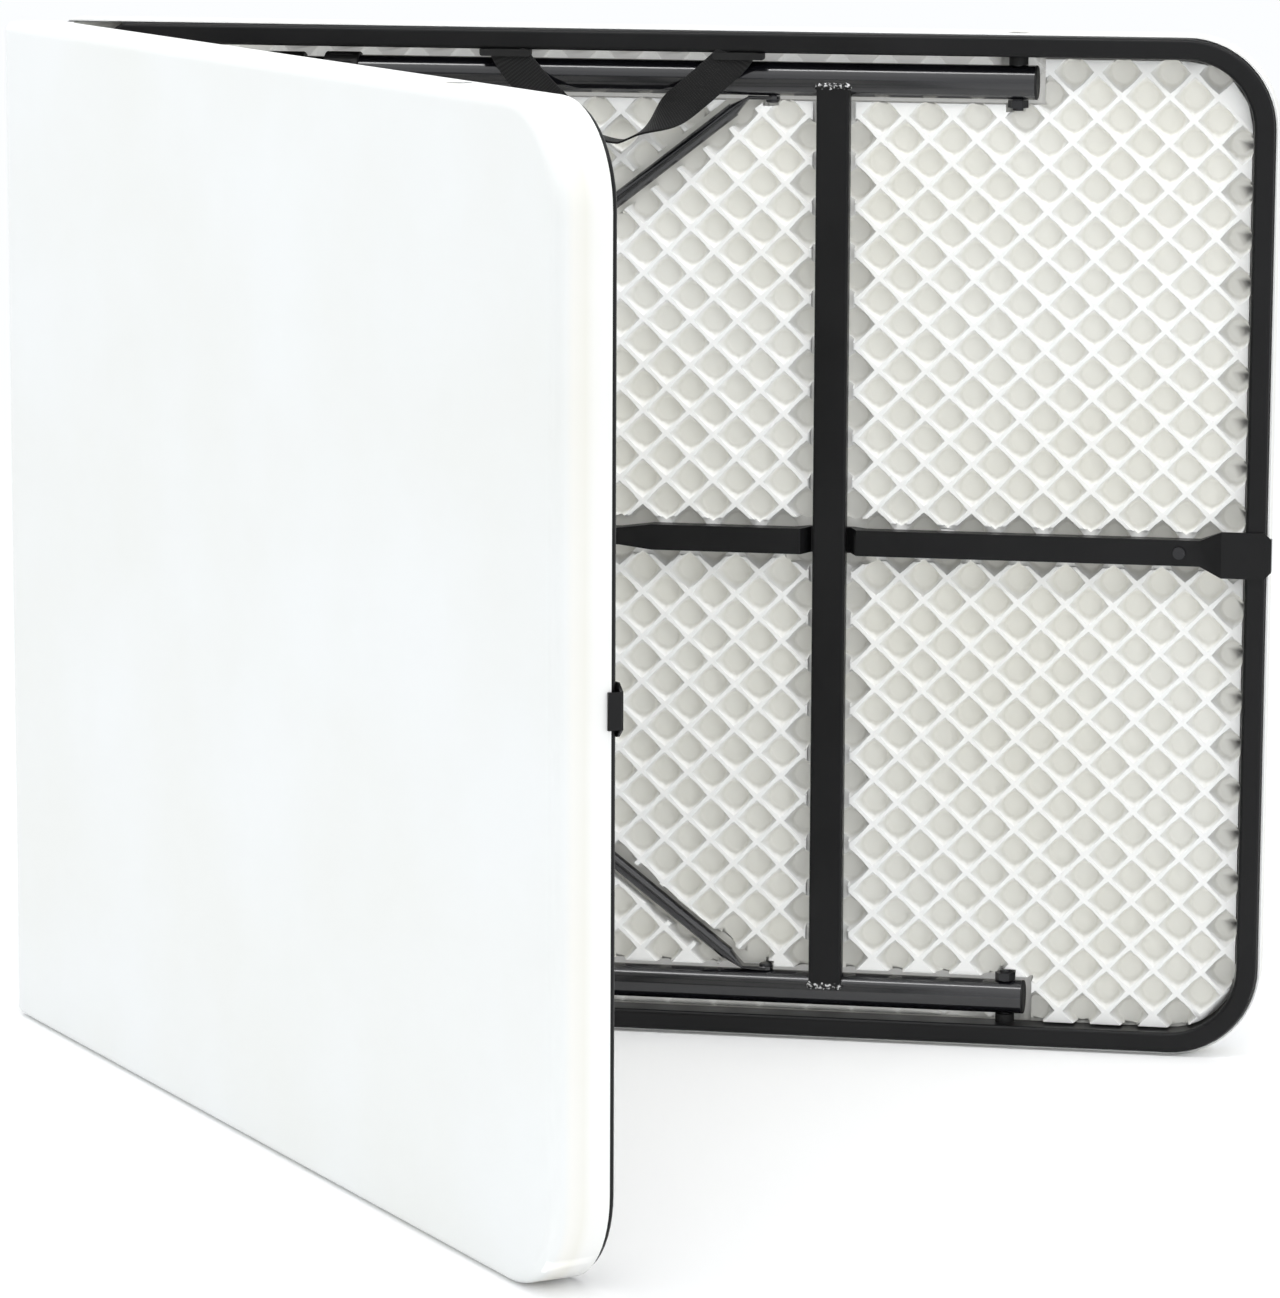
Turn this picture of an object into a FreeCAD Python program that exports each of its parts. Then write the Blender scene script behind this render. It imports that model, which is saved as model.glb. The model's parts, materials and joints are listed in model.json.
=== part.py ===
import FreeCAD, Part
import math
import os

# A folding table whose top splits in the middle into two blow-moulded halves. It stands on one
# long edge, half open like a book, with both sets of legs folded into the halves.
# Every length is in millimetres and every angle in degrees.
#
# Each half is drawn in its own frame before it is placed:
#   x  distance from the hinge line along the half
#   y  depth: 0 is the plane that holds the hinge axis, larger is nearer the working face
#   z  height above the floor, along the hinge axis
# The legs swing out towards -y. The far half keeps that frame. The near half is its mirror
# image in y, turned about the hinge axis.

Vec = FreeCAD.Vector
os.makedirs("parts", exist_ok=True)

# ---- driving dimensions: the halves
HALF_LENGTH = 900.0
WIDTH = 750.0
HALF_THICKNESS = 45.0
FOLD_ANGLE = 52.0            # between the two halves as they stand
AXIS_STANDOFF = 2.5          # hinge axis in front of the rails' front faces
HINGE_EDGE = 1.0             # each panel's hinge edge stops this far short of the axis
CORNER_RADIUS = 67.0         # outer corners, seen on the working face
HINGE_CORNER_RADIUS = 6.0
TOP_ROUNDING = 8.0
SKIN = 2.3                   # wall of the hollow moulding
SKIRT = 2.0                  # thin rim outside the rail
RIM_SETBACK = 5.0            # rim edge behind the rail's front face
RIB_SETBACK = 12.0           # underside ribs behind the rail's front face

# ---- driving dimensions: the rail
RAIL_WIDTH = 15.0
RAIL_DEPTH = 25.0
RAIL_ROUNDING = 3.0
RAIL_WALL = 1.5
RAIL_START = 46.0            # the full tube section begins here, short of it is the hinge neck
NECK_LENGTH = 16.0
KNUCKLE_RADIUS = 12.0
KNUCKLE_THICKNESS = 3.0
KNUCKLE_INSET = 8.0          # near half's knuckle, up from the rail's outer side face
WASHER_THICKNESS = 1.2
WASHER_RADIUS = 9.0
HINGE_PIN_RADIUS = 4.0
HINGE_HEAD_RADIUS = 7.0
HINGE_HEAD_THICKNESS = 2.2

# ---- driving dimensions: the legs
PIVOT_FROM_END = 189.0
PIVOT_DEPTH = 16.5           # pivot axis behind the rail's front face
LEG_RADIUS = 12.5
LEG_WALL = 1.2
LEG_SIDE_GAP = 6.5           # between the rail and the leg tube
LEG_OVERHANG = 12.7          # tube beyond the pivot
LEG_LENGTH = 560.0           # pivot axis to the sole of the foot, pushed in
TUBE_END_GAP = 55.0          # outer tube stops this far short of the sole
LEG_TRAVEL = 135.0
INNER_TUBE_GAP = 0.35         # between the inner tube and the outer one
INNER_TUBE_RADIUS = LEG_RADIUS - LEG_WALL - INNER_TUBE_GAP
INNER_TUBE_WALL = 1.2
INSERTION = 215.0            # inner tube inside the outer one, pushed in
FOOT_RADIUS = LEG_RADIUS + 1.5
FOOT_LENGTH = 30.0
FOOT_SOLE = 6.0
COLLAR_RADIUS = LEG_RADIUS + 2.1
COLLAR_LENGTH = 26.0
COLLAR_LIP = 9.0
PLUG_HEAD = 1.8
PLUG_DEPTH = 9.0
CROSSBAR_FROM_PIVOT = 134.0
CROSSBAR_WIDTH = 24.5
CROSSBAR_DEPTH = 12.0
CROSSBAR_WALL = 1.2
BOLT_RADIUS = 4.0
BOLT_HEAD_RADIUS = 7.5
BOLT_HEAD_THICKNESS = 1.6
NUT_ACROSS = 13.0
NUT_THICKNESS = 5.5
BOLT_END = 2.0               # thread showing beyond the nut
SPACER_RADIUS = 7.0

# ---- driving dimensions: the braces, the slider and the centre bar
RIVET_FROM_PIVOT = 180.0
BRACE_REACH = 436.0          # rivet to slider, measured along the half
BRACE_RADIUS = 5.25
BRACE_WALL = 1.1
BRACE_FLAT = 2.5             # thickness of the brace's flattened ends
BRACE_STEP = 0.25            # by which the crushed ends start below the tube's own radius
BRACE_OVERLAP = 1.5          # of the crushed ends into the round tube
BRACE_FLAT_WIDTH = 11.0
BRACE_FLAT_REACH = 17.0      # flat part beyond the rivet
BRACE_BLEND = 15.0           # length in which the flat end swells into the tube
BRACE_TIP = 7.0
RIVET_RADIUS = 3.0
RIVET_HEAD_RADIUS = 5.0
RIVET_HEAD_THICKNESS = 2.0
BAR_WIDTH = 19.0
BAR_DEPTH = 12.0
BAR_SETBACK = 2.5            # bar's front face behind the rail's front face
BAR_WALL = 1.2
BAR_NARROW_WIDTH = 12.5
BAR_NARROW_END = 420.0       # narrow from the hinge up to here
BAR_SHOULDER = 25.0
BAR_START = 16.0
BAR_TAB_WIDTH = 34.0
BAR_TAB_THICKNESS = 2.2
BAR_TAB_LIP = 10.0
BAR_TAB_LENGTH = 34.0
BAR_TAB_CHAMFER = 5.0
SCREW_RADIUS = 2.5
SCREW_HEAD_RADIUS = 4.5
SLIDER_WALL = 1.75
SLIDER_SIDE_GAP = 0.75       # slider to the narrow bar, each side
SLIDER_FRONT_GAP = 0.4
SLIDER_BACK = 25.0
SLIDER_FRONT = 98.0

# ---- driving dimensions: the carry strap
STRAP_WIDTH = 26.0
STRAP_THICKNESS = 1.8
STRAP_SPAN = 173.0           # between the two keepers
STRAP_CENTRE = 421.5         # middle of the strap, from the hinge
STRAP_DROP = 66.0
KEEPER_LENGTH = 38.0
KEEPER_DEPTH = 6.5
KEEPER_HEIGHT = 5.0

# ---- clearances
RUNNING = 0.05               # radial, a pin in its hole
SIDE_GAP = 0.3               # between faces that pass each other
SEAT = 1.7                   # around the rail in its trough
CHANNEL_GAP = 3.5            # around a leg tube in its channel
GROOVE_GAP = 3.75            # around a brace in its groove

# ---- levels that follow from the above
RAIL_FRONT = AXIS_STANDOFF
RAIL_BACK = RAIL_FRONT + RAIL_DEPTH
TOP_FACE = RAIL_FRONT + HALF_THICKNESS
RIM = RAIL_FRONT + RIM_SETBACK
RIB_PLANE = RAIL_FRONT + RIB_SETBACK
MIDDLE = WIDTH / 2
RAIL_SIDE = SKIRT + RAIL_WIDTH
LEG_Z = RAIL_SIDE + LEG_SIDE_GAP + LEG_RADIUS
PIVOT_X = HALF_LENGTH - PIVOT_FROM_END
PIVOT_Y = RAIL_FRONT + PIVOT_DEPTH
SOLE_X = PIVOT_X - LEG_LENGTH
TUBE_END_X = SOLE_X + TUBE_END_GAP
CROSSBAR_X = PIVOT_X - CROSSBAR_FROM_PIVOT
CROSSBAR_FRONT = PIVOT_Y - LEG_RADIUS + 0.3
CROSSBAR_BACK = CROSSBAR_FRONT + CROSSBAR_DEPTH
RIVET_X = PIVOT_X - RIVET_FROM_PIVOT
VERTEX_X = RIVET_X - BRACE_REACH
FULL_TILT = math.asin(RIVET_FROM_PIVOT / BRACE_REACH)      # of a brace, with its leg square to the top
BAR_FRONT = RAIL_FRONT + BAR_SETBACK
BAR_BACK = BAR_FRONT + BAR_DEPTH
DENT_FRONT = CROSSBAR_BACK + 0.6
DENT_BACK = DENT_FRONT + 5.0
TAB_FRONT = RAIL_FRONT - BAR_TAB_THICKNESS
SLIDER_INNER = BAR_NARROW_WIDTH / 2 + SLIDER_SIDE_GAP
SLIDER_OUTER = SLIDER_INNER + SLIDER_WALL
SLIDER_WEB = BAR_FRONT - SLIDER_FRONT_GAP
SLIDER_LIP = PIVOT_Y + 5.5
LANE_FLOOR = PIVOT_Y + BRACE_FLAT_WIDTH / 2 + 2.0
LEG_FLOOR = PIVOT_Y + COLLAR_RADIUS + 0.6


def box(x0, x1, y0, y1, z0, z1):
    return Part.makeBox(x1 - x0, y1 - y0, z1 - z0, Vec(x0, y0, z0))


def rod(radius, start, end):
    a, b = Vec(*start), Vec(*end)
    return Part.makeCylinder(radius, (b - a).Length, a, b - a)


def pipe(radius, wall, start, end):
    return rod(radius, start, end).cut(rod(radius - wall, start, end))


def prism_xz(points, y0, y1):
    """A closed outline in x and z, drawn out from depth y0 to y1."""
    wire = Part.makePolygon([Vec(x, y0, z) for x, z in points + points[:1]])
    return Part.Face(wire).extrude(Vec(0, y1 - y0, 0))


def prism_xy(points, z0, z1):
    """A closed outline in x and y, drawn up from height z0 to z1."""
    wire = Part.makePolygon([Vec(x, y, z0) for x, y in points + points[:1]])
    return Part.Face(wire).extrude(Vec(0, 0, z1 - z0))


def rounded_plate(x0, x1, z0, z1, y0, y1, near_radius, far_radius):
    """A plate in x and z whose hinge corners and outer corners are rounded."""
    body = box(x0, x1, y0, y1, z0, z1)
    for x, radius in ((x0, near_radius), (x1, far_radius)):
        if radius > 0.5:
            edges = [e for e in body.Edges if abs(e.CenterOfMass.x - x) < 0.01
                     and e.BoundBox.YLength > (y1 - y0) * 0.9 and e.BoundBox.ZLength < 0.1]
            body = body.makeFillet(radius, edges)
    return body


def mirror_z(shape):
    return shape.mirror(Vec(0, 0, MIDDLE), Vec(0, 0, 1))


def both(shape):
    """The piece at the floor side and its twin at the upper side."""
    return [shape, mirror_z(shape)]


def solid_of(shape):
    """The one solid that a boolean result holds."""
    shape = shape.removeSplitter()
    if len(shape.Solids) != 1:
        raise ValueError("expected one solid, got %d" % len(shape.Solids))
    return shape.Solids[0]


# ---------------------------------------------------------------- moulded panel
def trough(grow):
    """Room for the U-shaped rail, open at the hinge edge, and the recess inside the rim."""
    side = SKIRT - grow
    inner = RAIL_SIDE + SEAT + grow
    far = HALF_LENGTH
    recess = rounded_plate(-20.0, far - side, side, WIDTH - side, RIM - 20.0, RIB_PLANE + grow,
                           0.0, CORNER_RADIUS - side)
    rail_room = rounded_plate(-20.0, far - side, side, WIDTH - side, RIM - 20.0,
                              RAIL_BACK + grow, 0.0, CORNER_RADIUS - side)
    island = rounded_plate(-30.0, far - inner, inner, WIDTH - inner, RIM - 30.0,
                           RAIL_BACK + grow + 5.0, 0.0, CORNER_RADIUS - inner)
    return recess, rail_room.cut(island)


def hinge_skirt():
    """The rim along the hinge edge, between the two rail ends."""
    side = RAIL_SIDE + SEAT
    return box(HINGE_EDGE, HINGE_EDGE + SKIN, RIM, RIB_PLANE + 1.0, side, WIDTH - side)


def brace_groove(grow):
    """A straight groove under a folded brace's tube, from the leg channel to the slider's lane."""
    z0, z1, flat0, flat1, run = brace_path()
    start = flat0 - run * 14.0
    length = (flat1 - flat0).Length + 28.0
    half = BRACE_RADIUS + GROOVE_GAP + grow
    groove = Part.makeBox(length, LANE_FLOOR + grow, 2 * half, Vec(0, 0, -half))
    groove.rotate(Vec(0, 0, 0), Vec(0, 1, 0), math.degrees(math.atan2(-run.z, run.x)))
    groove.translate(Vec(start.x, 0, start.z))
    return groove


def channels(grow):
    """Everything that is sunk below the ribs, each grown by the skin to leave the walls."""
    g = grow
    low = RAIL_SIDE + SEAT - 3.0
    leg_side = LEG_Z + COLLAR_RADIUS + 1.4
    leg = box(SOLE_X - LEG_TRAVEL - 6.0 - g, PIVOT_X + LEG_OVERHANG + 6.0 + g, 0,
              LEG_FLOOR + g, low - g, leg_side + g)
    sweep = math.hypot(LEG_OVERHANG + PLUG_HEAD, LEG_RADIUS) + 1.5
    pocket = rod(sweep + g, (PIVOT_X, PIVOT_Y, low - g), (PIVOT_X, PIVOT_Y, leg_side + g))
    nut_end = LEG_Z + LEG_RADIUS + SIDE_GAP + NUT_THICKNESS + BOLT_END + 1.2
    nut_room = rod(NUT_ACROSS / math.sqrt(3) + 2.0 + g, (PIVOT_X, PIVOT_Y, leg_side - 1.0),
                   (PIVOT_X, PIVOT_Y, nut_end + g))
    rivet_room = rod(RIVET_HEAD_RADIUS + 3.0 + g, (RIVET_X, PIVOT_Y, leg_side - 1.0),
                     (RIVET_X, PIVOT_Y, leg_side + 4.0 + g))
    out = []
    for piece in (leg, pocket, nut_room, rivet_room, brace_groove(g)):
        out += both(piece)
    bar_side = BAR_WIDTH / 2 + 4.5 + g
    lane = 24.0 + g
    travel = RIVET_FROM_PIVOT + BRACE_REACH * (1 - math.cos(FULL_TILT))
    out.append(box(BAR_START - 6.0 - g, HALF_LENGTH - RAIL_SIDE - SEAT + 1.0 + g, 0,
                   BAR_BACK + g, MIDDLE - bar_side, MIDDLE + bar_side))
    out.append(box(VERTEX_X - SLIDER_BACK - 8.0 - g, BAR_NARROW_END + 8.0 + g, 0,
                   LANE_FLOOR + g, MIDDLE - bar_side, MIDDLE + bar_side))
    out.append(box(VERTEX_X - 16.0 - g, VERTEX_X + travel + 32.0 + g, 0, LANE_FLOOR + g,
                   MIDDLE - lane, MIDDLE + lane))
    out.append(box(CROSSBAR_X - 34.0 - g, CROSSBAR_X + 34.0 + g, 0, DENT_BACK + 1.0 + g,
                   MIDDLE - bar_side - 3.0, MIDDLE + bar_side + 3.0))
    half = CROSSBAR_WIDTH / 2 + CHANNEL_GAP + g
    out.append(box(CROSSBAR_X - half, CROSSBAR_X + half, 0, CROSSBAR_BACK + 2.0 + g,
                   LEG_Z, WIDTH - LEG_Z))
    return out


def top_panel():
    shell = rounded_plate(HINGE_EDGE, HALF_LENGTH, 0, WIDTH, RIM, TOP_FACE,
                          HINGE_CORNER_RADIUS, CORNER_RADIUS)
    face = [e for e in shell.Edges if e.BoundBox.YMin > TOP_FACE - 0.01]
    shell = shell.makeFillet(TOP_ROUNDING, face)
    recess, rail_room = trough(0.0)
    sunk = channels(0.0)
    shell = shell.cut([recess, rail_room]).fuse(hinge_skirt()).cut(sunk)
    bolt_room = rod(BOLT_HEAD_RADIUS + 1.0, (PIVOT_X, PIVOT_Y, -1), (PIVOT_X, PIVOT_Y, RAIL_SIDE))
    shell = shell.cut(both(bolt_room))
    # the air inside the double wall
    inset = HINGE_EDGE + SKIN
    air = rounded_plate(inset, HALF_LENGTH - SKIN, SKIN, WIDTH - SKIN, RIB_PLANE + SKIN,
                        TOP_FACE - SKIN, HINGE_CORNER_RADIUS - SKIN, CORNER_RADIUS - SKIN)
    face = [e for e in air.Edges if e.BoundBox.YMin > TOP_FACE - SKIN - 0.01]
    air = air.makeFillet(TOP_ROUNDING - SKIN, face)
    recess, rail_room = trough(SKIN)
    holes = [rod(SCREW_RADIUS + SKIN, (x, 0, MIDDLE), (x, BAR_BACK + 14.0 + SKIN, MIDDLE))
             for x in screw_places()]
    air = air.cut([rail_room] + channels(SKIN) + holes)
    pieces = sorted(air.Solids, key=lambda s: -s.Volume)
    shell = shell.cut(pieces[0])
    screws = [rod(SCREW_RADIUS, (x, 0, MIDDLE), (x, BAR_BACK + 14.0, MIDDLE))
              for x in screw_places()]
    return solid_of(shell.cut(screws))


# ---------------------------------------------------------------- rail and hinge
def rail_sweep(width, depth, rounding):
    """The bent tube: a rounded rectangle drawn round the three outer sides of the half."""
    mid_y = (RAIL_FRONT + RAIL_BACK) / 2
    line = SKIRT + RAIL_WIDTH / 2
    radius = CORNER_RADIUS - line
    far = HALF_LENGTH - line
    top = WIDTH - line
    s = radius * math.sqrt(0.5)
    path = Part.Wire([
        Part.makeLine(Vec(RAIL_START, mid_y, line), Vec(far - radius, mid_y, line)),
        Part.Arc(Vec(far - radius, mid_y, line), Vec(far - radius + s, mid_y, line + radius - s),
                 Vec(far, mid_y, line + radius)).toShape(),
        Part.makeLine(Vec(far, mid_y, line + radius), Vec(far, mid_y, top - radius)),
        Part.Arc(Vec(far, mid_y, top - radius), Vec(far - radius + s, mid_y, top - radius + s),
                 Vec(far - radius, mid_y, top)).toShape(),
        Part.makeLine(Vec(far - radius, mid_y, top), Vec(RAIL_START, mid_y, top)),
    ])
    section = Part.makeBox(1, depth, width, Vec(RAIL_START, mid_y - depth / 2, line - width / 2))
    edges = [e for e in section.Edges if e.BoundBox.XLength > 0.9]
    section = section.makeFillet(rounding, edges)
    ends = [f for f in section.Faces if f.BoundBox.XLength < 0.01
            and abs(f.CenterOfMass.x - RAIL_START) < 0.01]
    return path.makePipeShell([ends[0].OuterWire], True, False)


def knuckle_level(near):
    """Height of the lower face of a half's lower knuckle plate."""
    level = SKIRT + KNUCKLE_INSET - KNUCKLE_THICKNESS
    return level if near else level + KNUCKLE_THICKNESS + WASHER_THICKNESS


def rectangle(x, y0, y1, z0, z1):
    return Part.makePolygon([Vec(x, y0, z0), Vec(x, y1, z0), Vec(x, y1, z1), Vec(x, y0, z1),
                             Vec(x, y0, z0)])


def knuckle(near):
    """The tube's crushed end: a neck that flattens into a round eye on the hinge axis."""
    low = knuckle_level(near)
    high = low + KNUCKLE_THICKNESS
    neck = RAIL_START - NECK_LENGTH
    loft = Part.makeLoft([
        rectangle(RAIL_START, RAIL_FRONT, RAIL_BACK, SKIRT, RAIL_SIDE),
        rectangle(neck, RAIL_FRONT, RAIL_BACK - 2.5, low, high)], True, True)
    slope = math.atan2(RAIL_FRONT, neck)
    reach = math.hypot(neck, RAIL_FRONT)
    lower = slope - math.asin(KNUCKLE_RADIUS / reach)
    upper = math.atan2(RAIL_BACK - 2.5, neck)
    upper += math.asin(KNUCKLE_RADIUS / math.hypot(neck, RAIL_BACK - 2.5))
    points = [(neck, RAIL_FRONT),
              (KNUCKLE_RADIUS * math.sin(lower), -KNUCKLE_RADIUS * math.cos(lower)),
              (-KNUCKLE_RADIUS * math.sin(upper), KNUCKLE_RADIUS * math.cos(upper)),
              (neck, RAIL_BACK - 2.5)]
    plate = prism_xy(points, low, high)
    eye = rod(KNUCKLE_RADIUS, (0, 0, low), (0, 0, high))
    hole = rod(HINGE_PIN_RADIUS + RUNNING, (0, 0, low - 5), (0, 0, high + 5))
    return loft.fuse([plate, eye]).cut(hole)


def rail(near):
    tube = rail_sweep(RAIL_WIDTH, RAIL_DEPTH, RAIL_ROUNDING)
    inside = rail_sweep(RAIL_WIDTH - 2 * RAIL_WALL, RAIL_DEPTH - 2 * RAIL_WALL,
                        RAIL_ROUNDING - RAIL_WALL)
    bore = rod(BOLT_RADIUS + RUNNING, (PIVOT_X, PIVOT_Y, 0), (PIVOT_X, PIVOT_Y, RAIL_SIDE + 2))
    body = tube.cut(inside).cut(both(bore))
    return solid_of(body.fuse(both(knuckle(near))))


def hinge_pin():
    """A shouldered rivet through both knuckles and the washer between them."""
    low = knuckle_level(True)
    high = knuckle_level(False) + KNUCKLE_THICKNESS
    shank = rod(HINGE_PIN_RADIUS, (0, 0, low), (0, 0, high))
    heads = [rod(HINGE_HEAD_RADIUS, (0, 0, low - HINGE_HEAD_THICKNESS - RUNNING),
                 (0, 0, low - RUNNING)),
             rod(HINGE_HEAD_RADIUS, (0, 0, high + RUNNING),
                 (0, 0, high + RUNNING + HINGE_HEAD_THICKNESS))]
    heads += [rod(HINGE_PIN_RADIUS, (0, 0, low - 1), (0, 0, high + 1))]
    return solid_of(shank.fuse(heads))


def hinge_washer():
    low = knuckle_level(True) + KNUCKLE_THICKNESS + RUNNING
    high = knuckle_level(False) - RUNNING
    return solid_of(rod(WASHER_RADIUS, (0, 0, low), (0, 0, high)).cut(
        rod(HINGE_PIN_RADIUS + RUNNING, (0, 0, low), (0, 0, high))))


# ---------------------------------------------------------------- centre bar
def screw_places():
    return [BAR_START + 14.0, HALF_LENGTH - 65.0]


def bar_outline(inset):
    """The bar seen from the front: narrow, shouldered, full width, then its wide tab."""
    narrow = BAR_NARROW_WIDTH / 2 - inset
    full = BAR_WIDTH / 2 - inset
    tab = BAR_TAB_WIDTH / 2
    tab_start = HALF_LENGTH - BAR_TAB_LENGTH
    end = HALF_LENGTH + BAR_TAB_THICKNESS
    side = [(BAR_START + inset, narrow), (BAR_NARROW_END, narrow),
            (BAR_NARROW_END + BAR_SHOULDER, full)]
    if inset:
        side.append((tab_start - 16.0, full))
    else:
        side += [(tab_start - 16.0, full), (tab_start, tab), (end - BAR_TAB_CHAMFER, tab),
                 (end, tab - BAR_TAB_CHAMFER)]
    return ([(x, MIDDLE + w) for x, w in side]
            + [(x, MIDDLE - w) for x, w in reversed(side)])


def bar_profile(inset):
    """The bar seen from its edge: it dips under the crossbar and rises on to the rail."""
    tab_start = HALF_LENGTH - BAR_TAB_LENGTH
    end = HALF_LENGTH + BAR_TAB_THICKNESS
    dip = CROSSBAR_WIDTH / 2 + 2.5
    front = [(BAR_START + inset, BAR_FRONT + inset),
             (CROSSBAR_X - dip - 6.0 - inset, BAR_FRONT + inset),
             (CROSSBAR_X - dip - inset, DENT_FRONT + inset),
             (CROSSBAR_X + dip + inset, DENT_FRONT + inset),
             (CROSSBAR_X + dip + 6.0 + inset, BAR_FRONT + inset),
             (tab_start - 16.0, BAR_FRONT + inset)]
    back = [(tab_start - 16.0, BAR_BACK - inset),
            (CROSSBAR_X + dip + 12.0 - inset, BAR_BACK - inset),
            (CROSSBAR_X + dip + 2.0 - inset, DENT_BACK - inset),
            (CROSSBAR_X - dip - 2.0 + inset, DENT_BACK - inset),
            (CROSSBAR_X - dip - 12.0 + inset, BAR_BACK - inset),
            (BAR_START + inset, BAR_BACK - inset)]
    if not inset:
        front += [(tab_start, TAB_FRONT), (end, TAB_FRONT)]
        back = [(end, RAIL_FRONT), (tab_start, RAIL_FRONT)] + back
    return front + back


def centre_bar():
    outline = prism_xz(bar_outline(0), TAB_FRONT - 5, DENT_BACK + 5)
    profile = prism_xy(bar_profile(0), MIDDLE - BAR_TAB_WIDTH, MIDDLE + BAR_TAB_WIDTH)
    hollow = prism_xz(bar_outline(BAR_WALL), TAB_FRONT - 5, DENT_BACK + 5).common(
        prism_xy(bar_profile(BAR_WALL), MIDDLE - BAR_TAB_WIDTH, MIDDLE + BAR_TAB_WIDTH))
    half = BAR_TAB_WIDTH / 2
    lip = box(HALF_LENGTH, HALF_LENGTH + BAR_TAB_THICKNESS, TAB_FRONT, TAB_FRONT + BAR_TAB_LIP,
              MIDDLE - half + BAR_TAB_CHAMFER, MIDDLE + half - BAR_TAB_CHAMFER)
    holes = [rod(SCREW_RADIUS + RUNNING, (x, 0, MIDDLE), (x, BAR_BACK + 5, MIDDLE))
             for x in screw_places()]
    return solid_of(outline.common(profile).cut(hollow).fuse(lip).cut(holes))


def bar_screws():
    out = []
    for x in screw_places():
        shank = rod(SCREW_RADIUS - RUNNING, (x, BAR_FRONT - 0.5, MIDDLE),
                    (x, BAR_BACK + 13.0, MIDDLE))
        head = rod(SCREW_HEAD_RADIUS, (x, BAR_FRONT - 1.8, MIDDLE), (x, BAR_FRONT, MIDDLE))
        out.append(solid_of(shank.fuse(head)))
    return out


# ---------------------------------------------------------------- legs
def leg_point(x, z):
    return (x, PIVOT_Y, z)


def leg_tube():
    tube = pipe(LEG_RADIUS, LEG_WALL, leg_point(TUBE_END_X, LEG_Z),
                leg_point(PIVOT_X + LEG_OVERHANG, LEG_Z))
    bore = rod(BOLT_RADIUS + RUNNING, leg_point(PIVOT_X, 0), leg_point(PIVOT_X, 2 * LEG_Z))
    rivet = rod(RIVET_RADIUS + RUNNING, leg_point(RIVET_X, LEG_Z), leg_point(RIVET_X, 2 * LEG_Z))
    return solid_of(tube.cut([bore, rivet]))


def leg_crossbar():
    half = CROSSBAR_WIDTH / 2
    x = CROSSBAR_X
    w = CROSSBAR_WALL
    bar = box(x - half, x + half, CROSSBAR_FRONT, CROSSBAR_BACK, LEG_Z, WIDTH - LEG_Z)
    edges = [e for e in bar.Edges if e.BoundBox.ZLength > WIDTH / 2]
    bar = bar.makeFillet(2.0, edges)
    hollow = box(x - half + w, x + half - w, CROSSBAR_FRONT + w, CROSSBAR_BACK - w, 0, WIDTH)
    cope = rod(LEG_RADIUS + RUNNING, leg_point(x - 40, LEG_Z), leg_point(x + 40, LEG_Z))
    return solid_of(bar.cut(hollow).cut(both(cope)))


def end_plug():
    end = PIVOT_X + LEG_OVERHANG
    head = rod(LEG_RADIUS, leg_point(end, LEG_Z), leg_point(end + PLUG_HEAD, LEG_Z))
    edge = [e for e in head.Edges if e.CenterOfMass.x > end + PLUG_HEAD - 0.01]
    head = head.makeFillet(1.2, edge[:1])
    stem = rod(LEG_RADIUS - LEG_WALL - RUNNING, leg_point(end - PLUG_DEPTH + 2.0, LEG_Z),
               leg_point(end, LEG_Z))
    bolt = rod(BOLT_RADIUS + 1.5, leg_point(PIVOT_X, 0), leg_point(PIVOT_X, 2 * LEG_Z))
    return solid_of(head.fuse(stem).cut(bolt))


def leg_collar():
    """Twist-lock collar on the outer tube's mouth, that grips the inner tube."""
    mouth = TUBE_END_X
    sleeve = rod(COLLAR_RADIUS, leg_point(mouth - COLLAR_LIP, LEG_Z),
                 leg_point(mouth + COLLAR_LENGTH - COLLAR_LIP, LEG_Z))
    edges = [e for e in sleeve.Edges if e.BoundBox.XLength < 0.01]
    sleeve = sleeve.makeFillet(1.0, edges)
    inner = rod(INNER_TUBE_RADIUS + RUNNING, leg_point(mouth - COLLAR_LIP - 1, LEG_Z),
                leg_point(mouth, LEG_Z))
    outer = rod(LEG_RADIUS + RUNNING, leg_point(mouth, LEG_Z),
                leg_point(mouth + COLLAR_LENGTH, LEG_Z))
    grips = []
    for i in range(12):
        a = math.radians(30 * i)
        y = PIVOT_Y + (COLLAR_RADIUS + 0.6) * math.cos(a)
        z = LEG_Z + (COLLAR_RADIUS + 0.6) * math.sin(a)
        grips.append(rod(1.4, (mouth - 5.0, y, z), (mouth + COLLAR_LENGTH - COLLAR_LIP - 5.0, y, z)))
    return solid_of(sleeve.cut([inner, outer] + grips))


def leg_extension():
    start = SOLE_X + FOOT_SOLE
    end = TUBE_END_X + INSERTION
    return solid_of(pipe(INNER_TUBE_RADIUS, INNER_TUBE_WALL, leg_point(start, LEG_Z),
                         leg_point(end, LEG_Z)))


def foot_cap():
    cap = rod(FOOT_RADIUS, leg_point(SOLE_X, LEG_Z), leg_point(SOLE_X + FOOT_LENGTH, LEG_Z))
    edges = [e for e in cap.Edges if e.BoundBox.XLength < 0.01]
    cap = cap.makeFillet(1.8, edges)
    bore = rod(INNER_TUBE_RADIUS + RUNNING, leg_point(SOLE_X + FOOT_SOLE, LEG_Z),
               leg_point(SOLE_X + FOOT_LENGTH + 1, LEG_Z))
    return solid_of(cap.cut(bore))


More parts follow.
